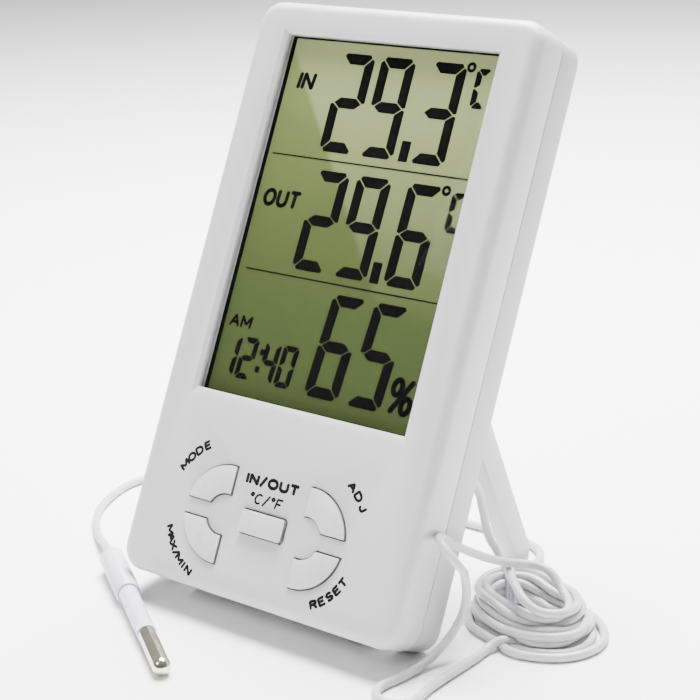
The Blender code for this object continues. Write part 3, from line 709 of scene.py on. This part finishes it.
def add_prism(work, outline, front, back):
    """A flat plate from front to back depth, its outline given across and up, all in mm."""
    rings = []
    for depth in (front, back):
        rings.append([work.verts.new((x * MM, depth * MM, z * MM)) for x, z in outline])
    work.faces.new(rings[0])
    work.faces.new(list(reversed(rings[1])))
    for k in range(len(outline)):
        j = (k + 1) % len(outline)
        work.faces.new((rings[0][k], rings[1][k], rings[1][j], rings[0][j]))


def rectangle(left, right, low, high):
    return [(left, low), (right, low), (right, high), (left, high)]


def rounded_rectangle(left, right, low, high, radius, steps):
    """A rectangle with round corners of some steps each."""
    points = []
    corners = ((right - radius, high - radius, 0), (left + radius, high - radius, 90),
               (left + radius, low + radius, 180), (right - radius, low + radius, 270))
    for x, z, start in corners:
        points += bow(x, z, radius, radius, start, start + 90, steps)
    return points


def bow(x, z, wide, tall, start, end, steps):
    """Points of an elliptical arc round (x, z), angles in degrees."""
    angles = [math.radians(start + (end - start) * k / steps) for k in range(steps + 1)]
    return [(x + wide * math.cos(a), z + tall * math.sin(a)) for a in angles]


# ---------- what the display shows ----------

# Depths in mm behind the front of the case, and boxes as left, right, low, high.
SEGMENT_DEPTH = 3.13
SEGMENT_BACK = 3.17
SHEET_FRONT = SEGMENT_BACK + 0.01
SHEET_BACK = 3.28
BORDER_FRONT = SEGMENT_DEPTH - 0.02
PRINT_FRONT = SEGMENT_DEPTH - 0.08
PRINT_BACK = SEGMENT_DEPTH - 0.04
SHEET_BOX = (-33.6, 33.6, 46.6, 142.8)
CLEAR_BOX = (-30.9, 31.1, 48.5, 140.9)
PRINT_BOX = (-33.7, 33.7, 46.5, 142.9)
PRINT_OPENING = (-32.1, 32.1, 48.1, 141.4)
LIT = {"0": "abcdef", "1": "bc", "2": "abged", "3": "abgcd", "4": "fgbc", "5": "afgcd",
       "6": "afgedc", "9": "abcdfg", "C": "afed"}
# A digit cell: its width, its height and the thickness of its bars.
BIG_CELL = (10.4, 25.6, 2.75)
UNIT_CELL = (4.3, 9.9, 1.65)
CLOCK_CELL = (4.9, 10.6, 1.45)
# Each row of big digits: its foot, its slant, and its digits with their left edges.
BIG_ROWS = ((112.6, 0.0, (("2", -15.2), ("9", -2.75), ("3", 12.4))),
            (82.2, 0.02, (("2", -14.4), ("9", -1.6), ("6", 13.9))),
            (52.3, 0.07, (("6", -1.2), ("5", 11.5))))
DECIMAL_POINTS = ((9.3, 112.6), (9.8, 82.2))
POINT_WIDE = 2.7
POINT_TALL = 5.2
UNITS = ((25.8, 127.6), (27.3, 97.1))
DEGREES = ((23.9, 137.6), (25.4, 107.1))
DEGREE_RADIUS = 1.3
DEGREE_WIDTH = 0.8
DEGREE_STEPS = 20
CLOCK = (("1", -29.3), ("2", -23.8), ("4", -16.6), ("0", -11.0))
CLOCK_FOOT = 52.6
CLOCK_SLANT = 0.07
COLON = ((-17.6, 55.0), (-17.3, 59.4))
COLON_WIDE = 1.3
COLON_TALL = 1.5
ROW_LINES = ((-29.5, 30.7, 110.25), (-28.6, 30.5, 80.05))
ROW_LINE_TALL = 0.36


def mirrored(points, wide):
    """Points of a digit cell, left for right."""
    return [(wide - x, z) for x, z in points]


def flipped(points, tall):
    """Points of a digit cell, top for bottom."""
    return [(x, tall - z) for x, z in points]


def segment_outlines(wide, tall, thick):
    """The seven bars of a digit cell, in the cell's own coordinates, with mitred ends."""
    cut = thick * 0.55
    gap = 0.09 * thick
    middle = tall / 2
    top = [(cut / 2 + gap, tall - cut / 2), (cut, tall), (wide - cut, tall),
           (wide - cut / 2 - gap, tall - cut / 2), (wide - thick - gap, tall - thick),
           (thick + gap, tall - thick)]
    upper_left = [(cut / 2, tall - cut / 2 - gap), (0, tall - cut), (0, middle + thick * 0.15),
                  (thick * 0.3, middle + gap), (thick, middle + thick / 2 + gap),
                  (thick, tall - thick - gap)]
    bar = [(thick * 0.3 + gap, middle), (thick + gap * 0.4, middle + thick / 2),
           (wide - thick - gap * 0.4, middle + thick / 2), (wide - thick * 0.3 - gap, middle),
           (wide - thick - gap * 0.4, middle - thick / 2), (thick + gap * 0.4, middle - thick / 2)]
    lower_left = flipped(upper_left, tall)
    return {"a": top, "b": mirrored(upper_left, wide), "c": mirrored(lower_left, wide),
            "d": flipped(top, tall), "e": lower_left, "f": upper_left, "g": bar}


def add_digit(work, character, left, low, cell, lean=0.0):
    """The lit bars of one digit, with its foot's left end at (left, low)."""
    outlines = segment_outlines(*cell)
    for letter in LIT[character]:
        points = [(left + x + lean * z, low + z) for x, z in outlines[letter]]
        add_prism(work, points, SEGMENT_DEPTH, SEGMENT_BACK)


def add_block(work, left, low, wide, tall):
    """A lit rectangle."""
    add_prism(work, rectangle(left, left + wide, low, low + tall), SEGMENT_DEPTH, SEGMENT_BACK)


def add_ring(work, x, z):
    """A small degree sign."""
    inner = DEGREE_RADIUS - DEGREE_WIDTH
    for k in range(DEGREE_STEPS):
        a, b = (2 * math.pi * (k + end) / DEGREE_STEPS for end in (0, 1))
        points = [(x + inner * math.cos(a), z + inner * math.sin(a)),
                  (x + DEGREE_RADIUS * math.cos(a), z + DEGREE_RADIUS * math.sin(a)),
                  (x + DEGREE_RADIUS * math.cos(b), z + DEGREE_RADIUS * math.sin(b)),
                  (x + inner * math.cos(b), z + inner * math.sin(b))]
        add_prism(work, points, SEGMENT_DEPTH, SEGMENT_BACK)


def display_segments(material):
    """The digits, points, degree signs, colon and row lines of the display."""
    work = bmesh.new()
    for foot, slant, digits in BIG_ROWS:
        for character, left in digits:
            add_digit(work, character, left, foot, BIG_CELL, slant)
    for left, low in DECIMAL_POINTS:
        add_block(work, left, low, POINT_WIDE, POINT_TALL)
    for left, low in UNITS:
        add_digit(work, "C", left, low, UNIT_CELL)
    for x, z in DEGREES:
        add_ring(work, x, z)
    for character, left in CLOCK:
        add_digit(work, character, left, CLOCK_FOOT, CLOCK_CELL, CLOCK_SLANT)
    for left, low in COLON:
        add_block(work, left, low, COLON_WIDE, COLON_TALL)
    for left, right, low in ROW_LINES:
        add_prism(work, rectangle(left, right, low, low + ROW_LINE_TALL), SEGMENT_DEPTH, SEGMENT_BACK)
    add_mesh("display_segments", work, material)


def display_sheets(sheet, black, white):
    """The polariser over the display panel, its black border, which stands in for painted shade in the gap
    under the window's walls, and the white border of the window.
    """
    work = bmesh.new()
    add_prism(work, rounded_rectangle(*SHEET_BOX, radius=0.4, steps=3), SHEET_FRONT, SHEET_BACK)
    add_mesh("display_sheet", work, sheet)
    # A black border like a display's printed mask, placed and sized to stand in for the shade under the
    # window's walls: painted shade.
    add_frame("display_shade_border", SHEET_BOX, CLEAR_BOX, BORDER_FRONT, SEGMENT_BACK, black)
    add_frame("window_print", PRINT_BOX, PRINT_OPENING, PRINT_FRONT, PRINT_BACK, white)


def add_frame(name, outer, inner, front, back, material):
    """A flat frame of four strips between two boxes."""
    work = bmesh.new()
    for part in ((outer[0], inner[0], outer[2], outer[3]), (inner[1], outer[1], outer[2], outer[3]),
                 (inner[0], inner[1], outer[2], inner[2]), (inner[0], inner[1], inner[3], outer[3])):
        add_prism(work, rectangle(*part), front, back)
    add_mesh(name, work, material)


# ---------- printed lettering ----------

# Each letter: its width, and pen strokes inside a cell of height 1.
PEN_STROKES = {
    "A": (0.78, [[(0, 0), (0.39, 1), (0.78, 0)], [(0.14, 0.34), (0.64, 0.34)]]),
    "C": (0.68, [bow(0.36, 0.5, 0.36, 0.5, 50, 310, 14)]),
    "D": (0.70, [[(0, 0), (0, 1), (0.32, 1)] + bow(0.32, 0.5, 0.38, 0.5, 90, -90, 10) + [(0, 0)]]),
    "E": (0.56, [[(0.56, 1), (0, 1), (0, 0), (0.56, 0)], [(0, 0.52), (0.48, 0.52)]]),
    "F": (0.54, [[(0.54, 1), (0, 1), (0, 0)], [(0, 0.5), (0.46, 0.5)]]),
    "I": (0.0, [[(0, 0), (0, 1)]]),
    "J": (0.46, [[(0.46, 1), (0.46, 0.25)] + bow(0.23, 0.25, 0.23, 0.25, 0, -180, 6)]),
    "M": (0.82, [[(0, 0), (0, 1), (0.41, 0.25), (0.82, 1), (0.82, 0)]]),
    "N": (0.68, [[(0, 0), (0, 1), (0.68, 0), (0.68, 1)]]),
    "O": (0.78, [bow(0.39, 0.5, 0.39, 0.5, 0, 360, 18)]),
    "R": (0.60, [[(0, 0), (0, 1), (0.34, 1)] + bow(0.34, 0.76, 0.26, 0.24, 90, -90, 8) + [(0, 0.52)],
                 [(0.3, 0.52), (0.6, 0)]]),
    "S": (0.58, [bow(0.29, 0.74, 0.28, 0.26, 30, 270, 10) + bow(0.29, 0.24, 0.29, 0.24, 90, -150, 10)]),
    "T": (0.64, [[(0, 1), (0.64, 1)], [(0.32, 1), (0.32, 0)]]),
    "U": (0.66, [[(0, 1), (0, 0.33)] + bow(0.33, 0.33, 0.33, 0.33, 180, 360, 8) + [(0.66, 1)]]),
    "X": (0.70, [[(0, 0), (0.70, 1)], [(0, 1), (0.70, 0)]]),
    "/": (0.44, [[(0, -0.08), (0.44, 1.08)]]),
    "%": (1.0, [[(0.16, 0), (0.84, 1)], bow(0.2, 0.76, 0.2, 0.24, 0, 360, 12),
                bow(0.8, 0.24, 0.2, 0.24, 0, 360, 12)]),
    "°": (0.30, [bow(0.15, 0.86, 0.15, 0.15, 0, 360, 10)]),
}
LETTER_GAP = 0.30
BLUNTNESS = 0.7  # how far a stroke's pointed end reaches past it, as a share of half its width
SHORTEST_STROKE = 0.0001
INK_FRONT = -0.015
INK_BACK = 0.02
# Each word: its centre with its turn, its height, then its width, its pen's width and its slant.
DISPLAY_WORDS = (("IN", (-24.5, 130.0, 0), 4.8, 0.92, 0.22, 0.12),
                 ("OUT", (-22.9, 99.1, 0), 4.8, 0.84, 0.22, 0.08),
                 ("AM", (-25.8, 66.7, 0), 3.4, 1.0, 0.2, 0.08),
                 ("%", (27.1, 57.1, 0), 9.2, 0.66, 0.15, 0.1))
LEFT_KEYS = (-13.3, 19.4)  # the centres of the two key circles
RIGHT_KEYS = (11.7, 19.4)


def text_width(text):
    """The width of a word whose letters are 1 high."""
    return sum(PEN_STROKES[letter][0] for letter in text) + LETTER_GAP * (len(text) - 1)


def add_letters(work, text, place, height, wide, pen, lean=0.0, front=INK_FRONT, back=INK_BACK):
    """Adds bold pen-stroke letters, centred on place = (across, up, turn in degrees)."""
    across, up, turn = place
    turn = math.radians(turn)

    def spot(x, z):
        dx = (x * wide + lean * (z - 0.5)) * height
        dz = (z - 0.5) * height
        return (across + dx * math.cos(turn) - dz * math.sin(turn),
                up + dx * math.sin(turn) + dz * math.cos(turn))

    half = pen * height / 2
    left = -text_width(text) / 2
    for letter in text:
        width, strokes = PEN_STROKES[letter]
        for stroke in strokes:
            line = [spot(left + x, half / height + z * (1 - pen)) for x, z in stroke]
            for start, end in zip(line, line[1:]):
                add_stroke(work, start, end, half, front, back)
        left += width + LETTER_GAP


def add_stroke(work, start, end, half, front, back):
    """One straight pen stroke with blunt points at both ends."""
    (x0, z0), (x1, z1) = start, end
    size = math.hypot(x1 - x0, z1 - z0)
    if size < SHORTEST_STROKE:
        return
    ax, az = (x1 - x0) / size * half, (z1 - z0) / size * half
    add_prism(work, [(x0 - az, z0 + ax), (x0 - ax * BLUNTNESS, z0 - az * BLUNTNESS), (x0 + az, z0 - ax),
                     (x1 + az, z1 - ax), (x1 + ax * BLUNTNESS, z1 + az * BLUNTNESS), (x1 - az, z1 + ax)],
              front, back)


def display_words(material):
    """The words in the display."""
    work = bmesh.new()
    for text, place, height, wide, pen, lean in DISPLAY_WORDS:
        add_letters(work, text, place, height, wide, pen, lean, SEGMENT_DEPTH, SEGMENT_BACK)
    add_mesh("display_words", work, material)


def curved_label(name, text, centre, radius, start, end, height, material, inward=False):
    """Letters along an arc round a key circle, from start to end degrees."""
    work = bmesh.new()
    for k, letter in enumerate(text):
        share = k / (len(text) - 1)
        angle = start + (end - start) * share
        x = centre[0] + radius * math.cos(math.radians(angle))
        z = centre[1] + radius * math.sin(math.radians(angle))
        turn = angle + 90 if inward else angle - 90
        add_letters(work, letter, (x, z, turn), height, wide=1.15, pen=0.3)
    add_mesh(name, work, material)


def straight_label(name, text, place, height, wide, pen, lean, material):
    """Letters in a straight line on the front."""
    work = bmesh.new()
    add_letters(work, text, place, height, wide, pen, lean)
    add_mesh(name, work, material)


def printed_labels(ink):
    """The words printed round the keys."""
    curved_label("label_mode", "MODE", LEFT_KEYS, 18.3, 150, 124, 2.4, ink)
    curved_label("label_max_min", "MAX/MIN", LEFT_KEYS, 16.9, 206, 247, 2.3, ink, inward=True)
    curved_label("label_adjust", "ADJ", RIGHT_KEYS, 17.9, 55, 36, 2.4, ink)
    curved_label("label_reset", "RESET", RIGHT_KEYS, 15.9, 298, 333, 2.4, ink, inward=True)
    straight_label("label_in_out", "IN/OUT", (-1.0, 29.6, 0), 2.9, 1.15, 0.31, 0.0, ink)
    straight_label("label_unit", "°C/°F", (-1.8, 25.3, 0), 2.8, 1.0, 0.2, 0.2, ink)


# ---------- CAD nodes that stay: softer edges and finer finishes ----------

KEY_NAMES = ("mode", "adjust", "max_min", "reset", "unit")
BUTTONS = tuple("button_" + key for key in KEY_NAMES)
SWITCHES = tuple("switch_" + key for key in KEY_NAMES)
SCREWS = tuple("screw_" + str(number) for number in (1, 2, 3, 4))
SHARP_EDGE = math.radians(35)  # edges sharper than this are not shaded smooth
BROKEN_EDGE = math.radians(38)  # edges sharper than this are rounded
FLAT_ENOUGH = math.radians(0.5)  # faces that turn less than this are joined
WELD_DISTANCE = 0.000002
EDGE_SEGMENTS = 3
# The width in mm by which a node's sharp edges are rounded.
EDGE_BREAKS = {"front_cover": 0.16, "rear_cover": 0.12, "battery_door": 0.15, "stand": 0.35,
               "button_mode": 0.22, "button_adjust": 0.22, "button_max_min": 0.22,
               "button_reset": 0.22, "button_unit": 0.4}


def smooth_group():
    """A node group that drops the stored normals and shades smooth, except at sharp edges."""
    group = bpy.data.node_groups.new("smooth_by_angle", "GeometryNodeTree")
    group.interface.new_socket("Geometry", in_out="INPUT", socket_type="NodeSocketGeometry")
    group.interface.new_socket("Geometry", in_out="OUTPUT", socket_type="NodeSocketGeometry")
    nodes, links = group.nodes, group.links
    angle = nodes.new("GeometryNodeInputMeshEdgeAngle")
    sharp = nodes.new("FunctionNodeCompare")
    sharp.operation = "GREATER_THAN"
    sharp.inputs[1].default_value = SHARP_EDGE
    links.new(angle.outputs["Unsigned Angle"], sharp.inputs[0])
    plain = nodes.new("GeometryNodeRemoveAttribute")
    plain.inputs["Name"].default_value = "custom_normal"
    links.new(nodes.new("NodeGroupInput").outputs[0], plain.inputs["Geometry"])
    before = plain
    for domain, smooth in (("FACE", True), ("EDGE", True), ("EDGE", False)):
        shade = nodes.new("GeometryNodeSetShadeSmooth")
        shade.domain = domain
        shade.inputs["Shade Smooth"].default_value = smooth
        links.new(before.outputs["Geometry"], shade.inputs["Geometry"])
        before = shade
    links.new(sharp.outputs["Result"], before.inputs["Selection"])
    links.new(before.outputs["Geometry"], nodes.new("NodeGroupOutput").inputs[0])
    return group


def soften(node, width, smoother):
    """Rounds a CAD node's sharp edges a little, as a mould does, and shades it smooth."""
    made = NODES[node]
    weld = made.modifiers.new("weld", "WELD")
    weld.merge_threshold = WELD_DISTANCE
    flat = made.modifiers.new("flat_faces", "DECIMATE")
    flat.decimate_type = "DISSOLVE"
    flat.angle_limit = FLAT_ENOUGH
    if width:
        bevel = made.modifiers.new("edge_break", "BEVEL")
        bevel.width = width * MM
        bevel.segments = EDGE_SEGMENTS
        bevel.limit_method = "ANGLE"
        bevel.angle_limit = BROKEN_EDGE
        bevel.use_clamp_overlap = True
        bevel.harden_normals = False
    smooth = made.modifiers.new("smooth", "NODES")
    smooth.node_group = smoother


def repaint(material, *nodes):
    """Gives CAD nodes a finer material."""
    for node in nodes:
        NODES[node].data.materials.clear()
        NODES[node].data.materials.append(material)


def paint_case():
    """The covers, the door, the stand, the keys and the window."""
    repaint(case_plastic("front_shell", (0.52, 0.52, 0.52), 0.38), "front_cover")
    # The rear cover and the battery door get a darker copy of the same white plastic: painted shade that
    # makes the rear half of the case read darker than the front.
    repaint(case_plastic("rear_shell", (0.45, 0.45, 0.45), 0.42), "rear_cover", "battery_door")
    repaint(case_plastic("stand_plastic", (0.52, 0.52, 0.52), 0.42), "stand")
    repaint(key_plastic("key_plastic", (0.58, 0.58, 0.58), 0.30), *BUTTONS)
    repaint(clear_window(), "display_lens")


def paint_display():
    """The liquid crystal panel with its reflector and contact strips."""
    repaint(glossy_plastic("lcd_glass", (0.16, 0.19, 0.10), 0.15), "lcd_panel")
    repaint(metal("reflector", (0.70, 0.72, 0.68), 0.35), "lcd_reflector")
    rubber = glossy_plastic("contact_rubber", (0.45, 0.42, 0.42), 0.6)
    repaint(rubber, "zebra_strip_top", "zebra_strip_bottom")


def paint_electronics():
    """The board and what sits on it."""
    repaint(glossy_plastic("board", (0.02, 0.16, 0.05), 0.35), "circuit_board")
    black_part = glossy_plastic("black_part", (0.02, 0.02, 0.022), 0.45)
    repaint(black_part, "chip_blob", "buzzer", "room_thermistor", *SWITCHES)
    repaint(glossy_plastic("sensor_white", (0.75, 0.75, 0.73), 0.5), "humidity_sensor")


def paint_battery_and_screws():
    """The cell, and all the bright metal inside the case and behind it."""
    steel = metal("bright_metal", (0.72, 0.71, 0.69), 0.22)
    repaint(steel, "timing_crystal", "battery_contact", "battery_spring", *SCREWS)
    repaint(glossy_plastic("battery_skin", (0.09, 0.10, 0.12), 0.3), "battery")


def paint_probe():
    """The outdoor sensor, and the bush where its cable leaves the case."""
    repaint(glossy_plastic("probe_plastic", (0.66, 0.65, 0.72), 0.28), "probe_sleeve", "probe_neck")
    repaint(metal("probe_metal", (0.70, 0.67, 0.54), 0.10), "probe_cap")
    repaint(glossy_plastic("gland_rubber", (0.60, 0.60, 0.61), 0.5), "cable_gland")


def soften_nodes():
    """Every CAD node is shaded smooth, and the moulded outer ones get round edges."""
    smoother = smooth_group()
    for node in NODES:
        soften(node, EDGE_BREAKS.get(node, 0.0), smoother)


add_camera()
add_lights()
add_floor()
paint_case()
paint_display()
paint_electronics()
paint_battery_and_screws()
paint_probe()
soften_nodes()
jacket = glossy_plastic("cable_jacket", (0.52, 0.52, 0.525), 0.30)
sensor_cable(jacket, glossy_plastic("cable_tie", (0.47, 0.45, 0.62), 0.35))
black = matt_black("display_black", 0.01)
display_sheets(display_sheet(), black, glossy_plastic("window_print", (0.5, 0.5, 0.5), 0.4))
display_segments(black)
display_words(black)
printed_labels(matt_black("printed_ink", 0.15))
